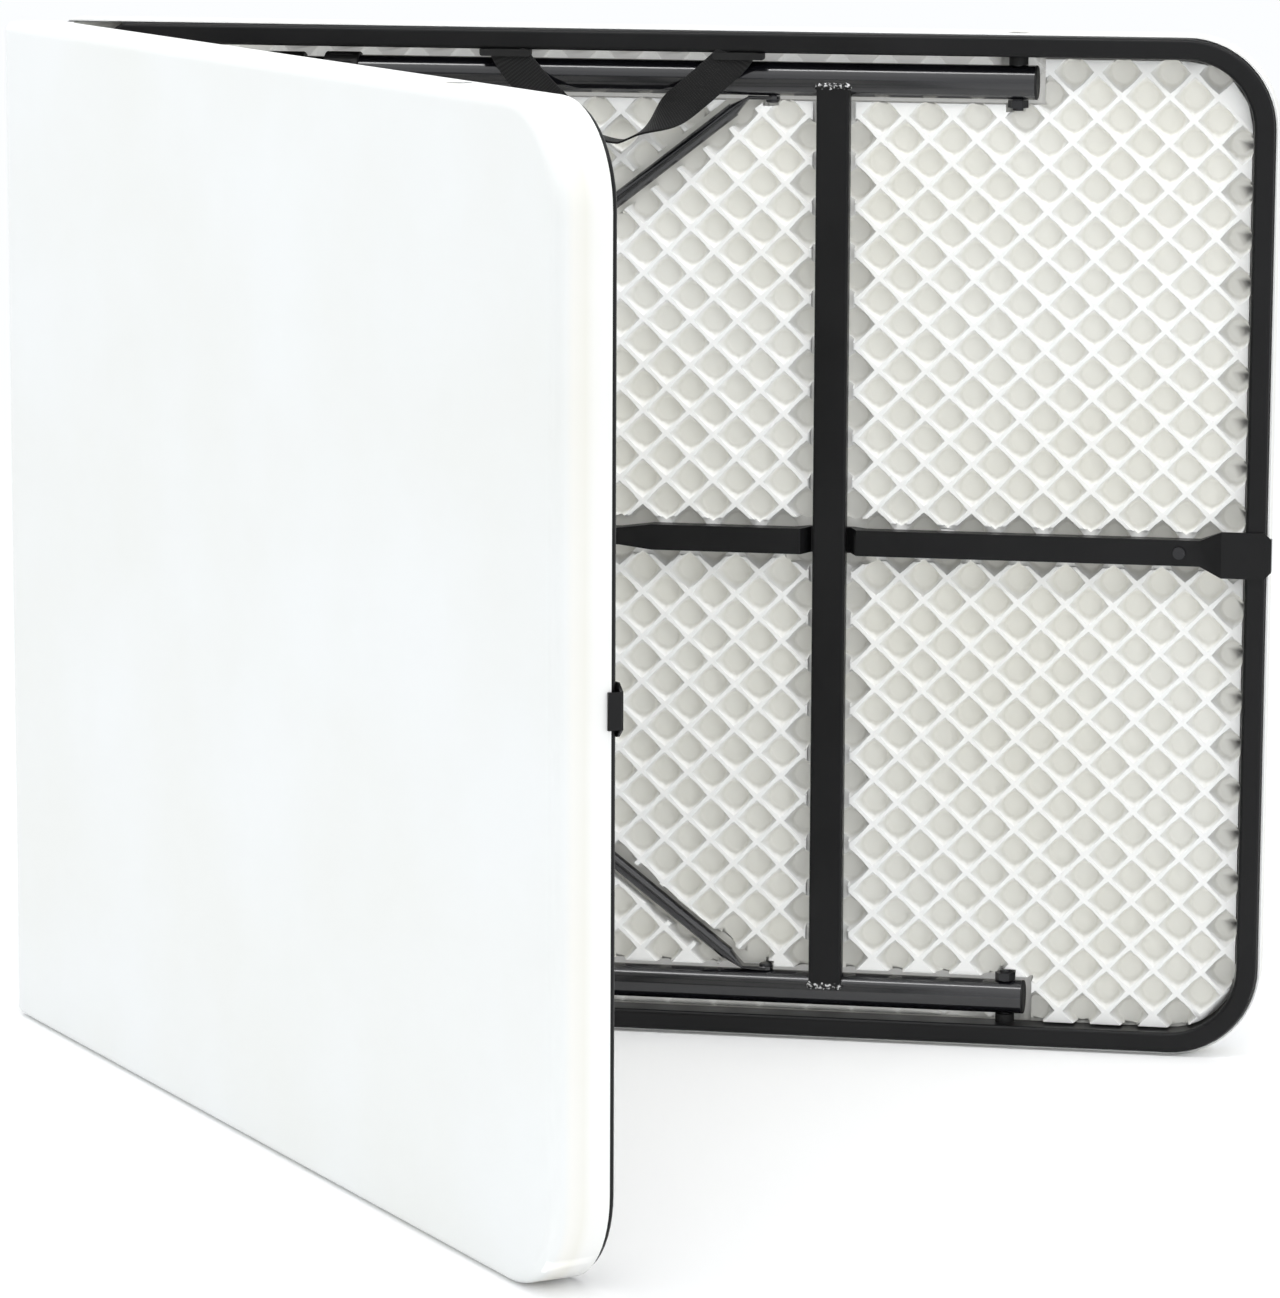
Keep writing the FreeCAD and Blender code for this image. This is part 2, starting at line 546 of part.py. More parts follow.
def pivot_bolt():
    """Bolt from the rail's outer side, through the spacer and the leg, with its nut inside."""
    out_z = SKIRT
    inner = LEG_Z + LEG_RADIUS
    head = rod(BOLT_HEAD_RADIUS, leg_point(PIVOT_X, out_z - BOLT_HEAD_THICKNESS),
               leg_point(PIVOT_X, out_z))
    edge = [e for e in head.Edges if e.CenterOfMass.z < out_z - BOLT_HEAD_THICKNESS + 0.01]
    head = head.makeFillet(1.1, edge[:1])
    shank = rod(BOLT_RADIUS, leg_point(PIVOT_X, out_z - 0.5),
                leg_point(PIVOT_X, inner + SIDE_GAP + NUT_THICKNESS + BOLT_END))
    flats = []
    for i in range(6):
        a = math.radians(60 * i)
        flats.append((PIVOT_X + NUT_ACROSS / math.sqrt(3) * math.cos(a),
                      PIVOT_Y + NUT_ACROSS / math.sqrt(3) * math.sin(a)))
    nut = prism_xy(flats, inner + SIDE_GAP, inner + SIDE_GAP + NUT_THICKNESS)
    return solid_of(head.fuse([shank, nut]))


def pivot_spacer():
    low, high = RAIL_SIDE, RAIL_SIDE + LEG_SIDE_GAP - SIDE_GAP
    ring = rod(SPACER_RADIUS, leg_point(PIVOT_X, low), leg_point(PIVOT_X, high))
    return solid_of(ring.cut(rod(BOLT_RADIUS + RUNNING, leg_point(PIVOT_X, low),
                                 leg_point(PIVOT_X, high))))


# ---------------------------------------------------------------- braces and slider
def oval(centre, along, thick, width):
    """A closed many-sided section square to the direction 'along', which lies in the x-z plane."""
    side = Vec(0, 1, 0)
    up = Vec(-along.z, 0, along.x)
    points = []
    for i in range(16):
        a = math.radians(22.5 * i)
        power = 1.0 if thick > 0.8 * width else 0.55
        c = math.copysign(abs(math.cos(a)) ** power, math.cos(a))
        s = math.copysign(abs(math.sin(a)) ** power, math.sin(a))
        points.append(centre + side * (c * width / 2) + up * (s * thick / 2))
    return Part.makePolygon(points + points[:1])


def brace_path():
    """Where the brace's middle line runs: (start, end) of the flats and of the round tube."""
    z0 = LEG_Z + LEG_RADIUS + SIDE_GAP + BRACE_FLAT / 2
    z1 = MIDDLE - SLIDER_OUTER - SIDE_GAP - BRACE_FLAT / 2
    flat0 = Vec(RIVET_X - BRACE_FLAT_REACH, PIVOT_Y, z0)
    flat1 = Vec(VERTEX_X + BRACE_FLAT_REACH, PIVOT_Y, z1)
    run = (flat1 - flat0).normalize()
    return z0, z1, flat0, flat1, run


def brace():
    z0, z1, flat0, flat1, run = brace_path()
    back = Vec(-1, 0, 0)
    rise = run * BRACE_BLEND
    two = 2 * (BRACE_RADIUS - BRACE_STEP)
    swell = [
        oval(flat0, back, BRACE_FLAT, BRACE_FLAT_WIDTH),
        oval(flat0 + rise * 0.4, (back + run).normalize(), BRACE_FLAT + 2.2, BRACE_FLAT_WIDTH + 0.4),
        oval(flat0 + rise + run * BRACE_OVERLAP, run, two, two),
    ]
    fall = [
        oval(flat1 - rise - run * BRACE_OVERLAP, run, two, two),
        oval(flat1 - rise * 0.4, (back + run).normalize(), BRACE_FLAT + 2.2, BRACE_FLAT_WIDTH + 0.4),
        oval(flat1, back, BRACE_FLAT, BRACE_FLAT_WIDTH),
    ]
    tube = rod(BRACE_RADIUS, tuple(flat0 + rise), tuple(flat1 - rise))
    body = tube.fuse([Part.makeLoft(swell, True, True), Part.makeLoft(fall, True, True)])
    core = rod(BRACE_RADIUS - BRACE_WALL, tuple(flat0 + rise * 1.3), tuple(flat1 - rise * 1.3))
    half = BRACE_FLAT_WIDTH / 2
    out = body.cut(core)
    for x, z, sign in ((RIVET_X, z0, 1), (VERTEX_X, z1, -1)):
        low, high = z - BRACE_FLAT / 2, z + BRACE_FLAT / 2
        inner = x - sign * (BRACE_FLAT_REACH + 0.6)
        plate = box(min(x, inner), max(x, inner), PIVOT_Y - half, PIVOT_Y + half, low, high)
        eye = rod(half, (x, PIVOT_Y, low), (x, PIVOT_Y, high))
        out = out.fuse([plate, eye])
    holes = [rod(RIVET_RADIUS + RUNNING, (x, PIVOT_Y, z - 6), (x, PIVOT_Y, z + 6))
             for x, z in ((RIVET_X, z0), (VERTEX_X, z1))]
    return solid_of(out.cut(holes))


def brace_rivet():
    z0 = brace_path()[0]
    low = LEG_Z + LEG_RADIUS - LEG_WALL - 2.0
    high = z0 + BRACE_FLAT / 2 + SIDE_GAP
    shank = rod(RIVET_RADIUS, (RIVET_X, PIVOT_Y, low), (RIVET_X, PIVOT_Y, high))
    head = rod(RIVET_HEAD_RADIUS, (RIVET_X, PIVOT_Y, high),
               (RIVET_X, PIVOT_Y, high + RIVET_HEAD_THICKNESS))
    edge = [e for e in head.Edges if e.CenterOfMass.z > high + RIVET_HEAD_THICKNESS - 0.01]
    head = head.makeFillet(1.3, edge[:1])
    return solid_of(shank.fuse(head))


def slider():
    """A folded-steel saddle that straddles the narrow part of the centre bar."""
    x0, x1 = VERTEX_X - SLIDER_BACK, VERTEX_X + SLIDER_FRONT
    web = SLIDER_WEB - SLIDER_WALL
    outer = box(x0, x1, web, SLIDER_LIP, MIDDLE - SLIDER_OUTER, MIDDLE + SLIDER_OUTER)
    edges = [e for e in outer.Edges if e.BoundBox.XLength > 50 and e.BoundBox.YMin < web + 0.01]
    outer = outer.makeFillet(1.5, edges)
    inner = box(x0 - 1, x1 + 1, SLIDER_WEB, SLIDER_LIP + 1, MIDDLE - SLIDER_INNER,
                MIDDLE + SLIDER_INNER)
    # only the ears at the pivot reach back beyond the bar
    relief = box(VERTEX_X + 14.0, x1 + 1, BAR_BACK + 1.0, SLIDER_LIP + 1, 0, WIDTH)
    holes = rod(RIVET_RADIUS + RUNNING, (VERTEX_X, PIVOT_Y, 0), (VERTEX_X, PIVOT_Y, WIDTH))
    return solid_of(outer.cut([inner, relief, holes]))


def slider_rivet():
    z1 = brace_path()[1]
    low = z1 - BRACE_FLAT / 2 - SIDE_GAP
    shank = rod(RIVET_RADIUS, (VERTEX_X, PIVOT_Y, low),
                (VERTEX_X, PIVOT_Y, MIDDLE - SLIDER_INNER - 0.1))
    head = rod(RIVET_HEAD_RADIUS, (VERTEX_X, PIVOT_Y, low - RIVET_HEAD_THICKNESS),
               (VERTEX_X, PIVOT_Y, low))
    edge = [e for e in head.Edges if e.CenterOfMass.z < low - RIVET_HEAD_THICKNESS + 0.01]
    head = head.makeFillet(1.3, edge[:1])
    return solid_of(shank.fuse(head))


# ---------------------------------------------------------------- carry strap, upper rail
KEEPER_LOW = WIDTH - RAIL_SIDE - KEEPER_HEIGHT
STRAP_TOP = WIDTH - RAIL_SIDE - 1.6


def keeper(x):
    """A clip under the upper rail with a slot that holds the webbing's end."""
    half = KEEPER_LENGTH / 2
    front = RAIL_FRONT - 1.5
    body = box(x - half, x + half, front, front + KEEPER_DEPTH, KEEPER_LOW, WIDTH - RAIL_SIDE)
    edges = [e for e in body.Edges if e.BoundBox.YLength > KEEPER_DEPTH - 0.1
             and e.BoundBox.ZMin < KEEPER_LOW + 0.01 and e.BoundBox.ZLength < 0.1]
    body = body.makeFillet(2.0, edges)
    mid = strap_depth(0.0)
    slot = box(x - STRAP_WIDTH / 2 - 1.0, x + STRAP_WIDTH / 2 + 1.0,
               mid - STRAP_THICKNESS / 2 - 0.4, mid + STRAP_THICKNESS / 2 + 0.4,
               KEEPER_LOW - 1, STRAP_TOP + 0.2)
    return solid_of(body.cut(slot))


def strap_depth(share):
    """Depth of the webbing's middle; share is 0 at the keepers and 1 at the bottom."""
    return (RAIL_FRONT + 1.0) * (1 - share) + 0.2 * share


def carry_strap():
    """Flat webbing that hangs in a U and turns edge-on at the bottom of the loop."""
    sections = []
    steps = 24
    for i in range(steps + 1):
        t = 2.0 * i / steps - 1.0
        share = 1.0 - abs(t) ** 1.35
        x = STRAP_CENTRE + STRAP_SPAN / 2 * math.copysign(abs(t) ** 1.06, t)
        z = STRAP_TOP - STRAP_DROP * share
        slope = 1.35 * STRAP_DROP * abs(t) ** 0.35 / (STRAP_SPAN / 2)
        angle = math.atan(slope) * (1 if t > 0 else -1)
        turn = math.radians(90) * max(0.0, min(1.0, (share - 0.5) / 0.45))
        in_plane = Vec(-math.sin(angle), 0, math.cos(angle))
        if abs(t) > 0.999:
            in_plane = Vec(math.copysign(1, -t), 0, 0)
        width = in_plane * math.cos(turn) + Vec(0, 1, 0) * math.sin(turn)
        tangent = Vec(math.cos(angle), 0, math.sin(angle))
        if abs(t) > 0.999:
            tangent = Vec(0, 0, math.copysign(1, t))
        normal = tangent.cross(width)
        middle = Vec(x, strap_depth(share), z)
        w, h = width * (STRAP_WIDTH / 2), normal * (STRAP_THICKNESS / 2)
        corners = [middle - w - h, middle + w - h, middle + w + h, middle - w + h]
        sections.append(Part.makePolygon(corners + corners[:1]))
    return Part.makeLoft(sections, True, True).Solids[0]


# ---------------------------------------------------------------- assembly
def half_nodes(side, near):
    tube = leg_tube()
    nodes = {
        "top_panel": [top_panel()],
        "rail": [rail(near)],
        "centre_bar": [centre_bar()],
        "bar_screws": bar_screws(),
        "leg_tube_lower": [tube],
        "leg_tube_upper": [mirror_z(tube)],
        "leg_crossbar": [leg_crossbar()],
        "leg_end_plugs": both(end_plug()),
        "leg_collars": both(leg_collar()),
        "leg_extension_lower": [leg_extension()],
        "leg_extension_upper": [mirror_z(leg_extension())],
        "foot_cap_lower": [foot_cap()],
        "foot_cap_upper": [mirror_z(foot_cap())],
        "pivot_bolts": both(pivot_bolt()),
        "pivot_spacers": both(pivot_spacer()),
        "brace_lower": [brace()],
        "brace_upper": [mirror_z(brace())],
        "brace_rivets": both(brace_rivet()),
        "brace_slider": [slider()],
        "slider_rivets": both(slider_rivet()),
    }
    return {side + "_" + name: shapes for name, shapes in nodes.items()}


def place_near(shape):
    shape = shape.mirror(Vec(0, 0, 0), Vec(0, 1, 0))
    shape.rotate(Vec(0, 0, 0), Vec(0, 0, 1), -FOLD_ANGLE)
    return shape


nodes = half_nodes("far", False)
nodes["hinge_pins"] = both(hinge_pin())
nodes["hinge_washers"] = both(hinge_washer())
nodes["strap_keepers"] = [keeper(STRAP_CENTRE - STRAP_SPAN / 2),
                          keeper(STRAP_CENTRE + STRAP_SPAN / 2)]
nodes["carry_strap"] = [carry_strap()]
for name, shapes in half_nodes("near", True).items():
    nodes[name] = [place_near(s) for s in shapes]

# the origin is the middle of the footprint, on the floor
everything = FreeCAD.BoundBox()
for shapes in nodes.values():
    for shape in shapes:
        everything.add(shape.optimalBoundingBox(False))
shift = Vec(-everything.Center.x, -everything.Center.y, -everything.ZMin)

for name, shapes in nodes.items():
    out = shapes[0] if len(shapes) == 1 else Part.makeCompound(shapes)
    out.translate(shift)
    out.exportStep("parts/%s.step" % name)
print("hinge axis at x %.4f y %.4f, floor shift %.4f" % (shift.x, shift.y, shift.z))
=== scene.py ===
import json
import math

import bpy
import numpy as np
from mathutils import Matrix, Vector


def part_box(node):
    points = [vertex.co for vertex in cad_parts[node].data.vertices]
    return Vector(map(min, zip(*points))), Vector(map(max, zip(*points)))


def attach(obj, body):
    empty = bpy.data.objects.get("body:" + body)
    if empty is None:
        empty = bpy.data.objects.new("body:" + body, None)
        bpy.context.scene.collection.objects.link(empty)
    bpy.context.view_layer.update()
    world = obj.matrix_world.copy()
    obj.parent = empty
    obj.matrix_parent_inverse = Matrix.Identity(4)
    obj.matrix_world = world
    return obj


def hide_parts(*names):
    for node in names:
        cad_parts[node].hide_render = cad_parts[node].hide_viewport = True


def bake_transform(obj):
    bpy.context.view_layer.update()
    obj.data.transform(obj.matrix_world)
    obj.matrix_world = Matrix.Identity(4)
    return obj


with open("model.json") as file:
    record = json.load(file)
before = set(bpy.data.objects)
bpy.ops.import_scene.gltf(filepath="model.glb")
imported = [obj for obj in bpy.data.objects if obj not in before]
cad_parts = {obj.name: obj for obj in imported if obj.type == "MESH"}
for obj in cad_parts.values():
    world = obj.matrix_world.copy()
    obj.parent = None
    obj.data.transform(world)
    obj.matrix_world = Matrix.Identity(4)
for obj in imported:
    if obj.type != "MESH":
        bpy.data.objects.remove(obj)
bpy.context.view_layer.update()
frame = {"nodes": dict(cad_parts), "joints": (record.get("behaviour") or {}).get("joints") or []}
nodes = frame["nodes"]

# ---------------------------------------------------------------- the hinge line
# The two halves of the table turn on one upright line of hinge pins. Each half has its own
# directions: along the table from the hinge, into the thickness towards the working face, and up.
table_fold = next(joint for joint in frame["joints"] if joint["name"] == "table_fold")
hinge = Vector(table_fold["pos_m"])
fold_angle = math.radians(-table_fold["range_deg"][0])
mid_height = hinge.z
table_width = 2 * hinge.z

fold_cos, fold_sin = math.cos(fold_angle), math.sin(fold_angle)
half_places = {
    "far": Matrix.Translation((hinge.x, hinge.y, 0)),
    "near": Matrix.Translation((hinge.x, hinge.y, 0)) @ Matrix((
        (fold_cos, -fold_sin, 0, 0), (-fold_sin, -fold_cos, 0, 0), (0, 0, 1, 0), (0, 0, 0, 1))),
}

# ---------------------------------------------------------------- camera
# A long lens at standing height, a little to the right of the hinge and turned slightly left.
view_offset = Vector((1.18988, -4.18393, 0))
view_height = 1.01252
view_turn, view_dip, view_roll = -0.1779, 0.1680, 0.0042
ahead = Vector((math.sin(view_turn) * math.cos(view_dip),
                math.cos(view_turn) * math.cos(view_dip), -math.sin(view_dip)))
level = Vector((math.cos(view_turn), -math.sin(view_turn), 0))
upward = level.cross(ahead)
sideways = level * math.cos(view_roll) + upward * math.sin(view_roll)
upward = upward * math.cos(view_roll) - level * math.sin(view_roll)
camera_data = bpy.data.cameras.new("camera")
camera_data.sensor_width = 36.0
camera_data.lens = 5815.5 / 1298 * 36.0
camera_data.clip_end = 200.0
camera = bpy.data.objects.new("camera", camera_data)
bpy.context.scene.collection.objects.link(camera)
camera.matrix_world = Matrix((
    (sideways.x, upward.x, -ahead.x, hinge.x + view_offset.x),
    (sideways.y, upward.y, -ahead.y, hinge.y + view_offset.y),
    (sideways.z, upward.z, -ahead.z, view_height),
    (0, 0, 0, 1)))
bpy.context.scene.camera = camera

# ---------------------------------------------------------------- studio
# A white sweep of floor under an even white sky, with one long soft box overhead and a weaker
# one in front, so that round tubes carry a single bright line along their tops.
bpy.context.scene.view_settings.view_transform = "Standard"
bpy.context.scene.view_settings.look = "None"

bpy.ops.object.select_all(action="DESELECT")
bpy.ops.mesh.primitive_grid_add(x_subdivisions=4, y_subdivisions=4, size=160.0,
                                location=(0, 0, -0.0005))
floor = bpy.context.object
floor.name = "studio_floor"
floor_white = bpy.data.materials.new("studio_floor_white")
floor_white.use_nodes = True
floor_shader = floor_white.node_tree.nodes["Principled BSDF"]
floor_shader.inputs["Base Color"].default_value = (0.93, 0.93, 0.93, 1)
floor_shader.inputs["Roughness"].default_value = 0.9
floor_shader.inputs["Specular IOR Level"].default_value = 0.0
floor_shader.inputs["Emission Color"].default_value = (1, 1, 1, 1)
floor_shader.inputs["Emission Strength"].default_value = 0.05
floor.data.materials.append(floor_white)

sky = bpy.data.worlds.new("studio_sky")
sky.use_nodes = True
sky.node_tree.nodes["Background"].inputs["Color"].default_value = (0.97, 0.985, 1.0, 1)
sky.node_tree.nodes["Background"].inputs["Strength"].default_value = 0.97
bpy.context.scene.world = sky


def add_soft_box(name, power, size, place, target):
    """A rectangular soft box at place that faces target."""
    light = bpy.data.lights.new(name, "AREA")
    light.shape = "RECTANGLE"
    light.size, light.size_y = size
    light.energy = power
    lamp = bpy.data.objects.new(name, light)
    bpy.context.scene.collection.objects.link(lamp)
    lamp.location = place
    lamp.rotation_euler = (Vector(target) - Vector(place)).to_track_quat("-Z", "Y").to_euler()
    return lamp


sun = bpy.data.lights.new("even_sun", "SUN")
sun.energy = 0.22
sun.angle = math.radians(60)
sun_lamp = bpy.data.objects.new("even_sun", sun)
bpy.context.scene.collection.objects.link(sun_lamp)
sun_lamp.rotation_euler = (math.radians(38), math.radians(14), 0)
add_soft_box("overhead_box", 18, (2.8, 0.20), (0.1, -0.35, 2.2), (0.05, 0.2, 0.5))
add_soft_box("front_box", 5, (2.4, 1.8), (1.6, -3.4, 1.9), (0, 0, 0.4))

# ---------------------------------------------------------------- top panels
# Each half is one hollow blow-moulded shell of white polyethylene. The working face is plain;
# the underside is a lattice of ribs that leaves diamond pockets with round floors.
pocket_pitch_along, pocket_pitch_up = 0.0350, 0.0339
rib_plane = 0.0145                # depth of the ribs' crests from the plane of the hinge
pocket_levels = [                 # depth below the ribs, half diagonal, squareness
    (-0.0010, 0.0156, 1.10),
    (0.0004, 0.0145, 1.10),
    (0.0018, 0.0138, 1.12),
    (0.0070, 0.0121, 1.30),
    (0.0110, 0.0101, 1.75),
    (0.0126, 0.0078, 2.00),
]
pocket_sides = 12
pocket_start = 0.0165             # of the first pocket from the hinge


def edit(piece):
    """Makes piece the only one selected and opens its mesh with nothing selected in it."""
    bpy.ops.object.select_all(action="DESELECT")
    bpy.context.view_layer.objects.active = piece
    piece.select_set(True)
    bpy.ops.object.mode_set(mode="EDIT")
    bpy.ops.mesh.select_all(action="DESELECT")


def done():
    bpy.ops.object.mode_set(mode="OBJECT")


def apply_modifier(piece, kind, **settings):
    bpy.ops.object.select_all(action="DESELECT")
    bpy.context.view_layer.objects.active = piece
    piece.select_set(True)
    modifier = piece.modifiers.new(kind.lower(), kind)
    for key, value in settings.items():
        setattr(modifier, key, value)
    bpy.ops.object.modifier_apply(modifier=modifier.name)


def solid_copy(node, name):
    """The outer skin of a CAD node as one merged mesh; the sealed air space inside is dropped."""
    mesh = nodes[node].data.copy()
    piece = bpy.data.objects.new(name, mesh)
    bpy.context.scene.collection.objects.link(piece)
    mesh.materials.clear()
    edit(piece)
    bpy.ops.mesh.select_all(action="SELECT")
    bpy.ops.mesh.remove_doubles(threshold=1e-6)
    bpy.ops.mesh.separate(type="LOOSE")
    done()
    shells = list(bpy.context.selected_objects)
    outer = max(shells, key=lambda o: o.dimensions.length)
    for shell in shells:
        if shell != outer:
            bpy.data.objects.remove(shell)
    outer.name = name
    return outer


def coordinates(mesh):
    flat = np.zeros(len(mesh.vertices) * 3)
    mesh.vertices.foreach_get("co", flat)
    return flat.reshape(-1, 3)


def set_coordinates(mesh, points):
    mesh.vertices.foreach_set("co", points.ravel())
    mesh.update()


def pocket_cutter():
    """One tapered pocket, mouth towards -Y, its centre on the Y axis at the rib plane."""
    depth, size, _ = pocket_levels[0]
    bpy.ops.object.select_all(action="DESELECT")
    bpy.ops.mesh.primitive_circle_add(vertices=pocket_sides, radius=size, fill_type="NGON",
                                      location=(0, depth, 0), rotation=(math.radians(90), 0, 0))
    cutter = bpy.context.object
    bpy.ops.object.transform_apply(location=True, rotation=True, scale=True)
    edit(cutter)
    bpy.ops.mesh.select_all(action="SELECT")
    for (depth0, size0, _), (depth1, size1, _) in zip(pocket_levels, pocket_levels[1:]):
        bpy.ops.mesh.extrude_region_move(TRANSFORM_OT_translate={"value": (0, depth1 - depth0, 0)})
        bpy.ops.transform.resize(value=(size1 / size0, 1, size1 / size0),
                                 center_override=(0, depth1, 0))
    bpy.ops.mesh.select_all(action="SELECT")
    bpy.ops.mesh.normals_make_consistent(inside=False)
    done()
    points = coordinates(cutter.data)
    for level_depth, level_size, squareness in pocket_levels:
        ring = np.abs(points[:, 1] - level_depth) < 1e-6
        turn = np.arctan2(points[ring, 2], points[ring, 0])
        spread = (np.abs(np.cos(turn)) ** squareness + np.abs(np.sin(turn)) ** squareness)
        points[ring, 0] = level_size * np.cos(turn) / spread ** (1 / squareness)
        points[ring, 2] = level_size * np.sin(turn) / spread ** (1 / squareness)
    set_coordinates(cutter.data, points)
    return cutter


def to_local(node):
    """Lowest and highest corner of a far CAD node, measured from the hinge."""
    low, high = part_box(node)
    start = Vector((hinge.x, hinge.y, 0))
    return low - start, high - start


panel_length = to_local("far_top_panel")[1].x
rail_width, rail_seat = 0.015, 0.0017
trough_side = 0.002 + rail_width + rail_seat
trough_end = to_local("far_rail")[1].x - rail_width - rail_seat
corner_radius = 0.067
tube_low, tube_high = to_local("far_leg_tube_lower")
channel_side = tube_high.z + 0.0035
channel_end = tube_high.x + 0.0060
channel_floor = 0.0342
nearest_hinge, nearest_trough = 0.014, 0.002
shallow_width, shallow_depth = 0.85, 0.5      # of the pockets in the leg channels' floors


def room_for_pocket(along, up):
    """Distance from a pocket's centre to the rail's trough, which may cut into the pocket."""
    up = min(up, table_width - up)
    gap = min(up - trough_side, trough_end - along)
    corner = Vector((panel_length - corner_radius, corner_radius))
    place = Vector((along, up))
    if along > corner.x and up < corner.y:
        gap = min(gap, corner_radius - trough_side - (place - corner).length)
    return gap


def pocket_lattice():
    """All the pockets of one half as one cutting tool, in the half's own directions."""
    tool = pocket_cutter()
    count_along = int(panel_length / pocket_pitch_along) + 1
    count_up = int(table_width / pocket_pitch_up) + 1
    apply_modifier(tool, "ARRAY", count=count_along, use_relative_offset=False,
                   use_constant_offset=True, constant_offset_displace=(pocket_pitch_along, 0, 0))
    apply_modifier(tool, "ARRAY", count=count_up, use_relative_offset=False,
                   use_constant_offset=True, constant_offset_displace=(0, 0, pocket_pitch_up))
    apply_modifier(tool, "ARRAY", count=2, use_relative_offset=False, use_constant_offset=True,
                   constant_offset_displace=(pocket_pitch_along / 2, 0, pocket_pitch_up / 2))
    points = coordinates(tool.data)
    block = len(pocket_levels) * pocket_sides
    first_up = mid_height - pocket_pitch_up * round(mid_height / pocket_pitch_up)
    points[:, 0] += pocket_start
    points[:, 1] += rib_plane
    points[:, 2] += first_up + pocket_pitch_up / 4
    unwanted = []
    for start in range(0, len(points), block):
        part = points[start:start + block]
        centre = part.mean(axis=0)
        gap = room_for_pocket(centre[0], centre[2])
        up = min(centre[2], table_width - centre[2])
        in_channel = centre[0] < channel_end + 0.004 and up < channel_side + 0.003
        too_near = centre[0] < nearest_hinge or gap < nearest_trough
        if too_near or (in_channel and up > channel_side - 0.008):
            unwanted.extend(range(start, start + block))
            continue
        if in_channel:
            part[:, 1] = channel_floor + (part[:, 1] - rib_plane) * shallow_depth
            part[:, 0] = centre[0] + (part[:, 0] - centre[0]) * shallow_width
            part[:, 2] = centre[2] + (part[:, 2] - centre[2]) * shallow_width
    set_coordinates(tool.data, points)
    edit(tool)
    done()
    for index in unwanted:
        tool.data.vertices[index].select = True
    bpy.ops.object.mode_set(mode="EDIT")
    bpy.ops.mesh.delete(type="VERT")
    done()
    return tool


lattice = pocket_lattice()
panels = {}
for side, place in half_places.items():
    panel = solid_copy(side + "_top_panel", side + "_table_top")
    tool = lattice.copy()
    tool.data = lattice.data.copy()
    bpy.context.scene.collection.objects.link(tool)
    tool.data.transform(place)
    if side == "near":
        tool.data.flip_normals()
    apply_modifier(panel, "BOOLEAN", operation="DIFFERENCE", solver="MANIFOLD", object=tool)
    bpy.data.objects.remove(tool)
    edit(panel)
    bpy.ops.mesh.select_all(action="SELECT")
    bpy.ops.mesh.remove_doubles(threshold=1e-6)
    done()
    bpy.ops.object.shade_smooth_by_angle(angle=math.radians(50))
    apply_modifier(panel, "WEIGHTED_NORMAL", keep_sharp=True, weight=80)
    inward = place.to_3x3() @ Vector((0, 1, 0))
    depths = (coordinates(panel.data) - np.array(place.translation)) @ np.array(inward)
    attribute = panel.data.attributes.new("depth", "FLOAT", "POINT")
    attribute.data.foreach_set("value", depths.astype(np.float32))
    local = (coordinates(panel.data) - np.array(place.translation)) @ np.array(place.to_3x3())
    up = np.minimum(local[:, 2], table_width - local[:, 2])
    # painted light: pocket floors glow more the higher they sit, and the shaded channel floors glow
    # more still
    inside = (up > 0.016) & (local[:, 0] < panel_length - 0.016) & (depths < 0.043)
    channel = np.clip((depths - 0.028) / 0.006, 0, 1)
    pocket = np.clip((depths - rib_plane) / 0.003, 0, 1)
    pocket *= 0.015 + 0.045 * local[:, 2] / table_width
    attribute = panel.data.attributes.new("painted_light", "FLOAT", "POINT")
    attribute.data.foreach_set("value", (inside * (pocket + 0.21 * channel)).astype(np.float32))
    panels[side] = panel
bpy.data.objects.remove(lattice)


def new_group(name, inputs, outputs):
    """An empty shader node group with named float or colour sockets."""
    group = bpy.data.node_groups.new(name, "ShaderNodeTree")
    for label, kind, value in inputs:
        socket = group.interface.new_socket(name=label, in_out="INPUT", socket_type=kind)
        if value is not None:
            socket.default_value = value
    for label, kind in outputs:
        group.interface.new_socket(name=label, in_out="OUTPUT", socket_type=kind)
    return group, group.nodes.new("NodeGroupInput"), group.nodes.new("NodeGroupOutput")


def link(tree, source, socket, target, entry):
    tree.links.new(source.outputs[socket], target.inputs[entry])


# Speckle: soft and fine noise on object coordinates. It gives a height for the bump, and a slow
# mask that makes gloss and colour wander a little over the surface.
speckle, speckle_in, speckle_out = new_group(
    "moulding_speckle",
    [("Grain", "NodeSocketFloat", 900.0), ("Cloud", "NodeSocketFloat", 7.0)],
    [("Height", "NodeSocketFloat"), ("Cloudiness", "NodeSocketFloat")])
speckle_coords = speckle.nodes.new("ShaderNodeTexCoord")
grain_noise = speckle.nodes.new("ShaderNodeTexNoise")
grain_noise.inputs["Detail"].default_value = 3.0
grain_noise.inputs["Roughness"].default_value = 0.6
cloud_noise = speckle.nodes.new("ShaderNodeTexNoise")
cloud_noise.inputs["Detail"].default_value = 4.0
link(speckle, speckle_coords, "Object", grain_noise, "Vector")
link(speckle, speckle_coords, "Object", cloud_noise, "Vector")
link(speckle, speckle_in, "Grain", grain_noise, "Scale")
link(speckle, speckle_in, "Cloud", cloud_noise, "Scale")
link(speckle, grain_noise, "Fac", speckle_out, "Height")
link(speckle, cloud_noise, "Fac", speckle_out, "Cloudiness")


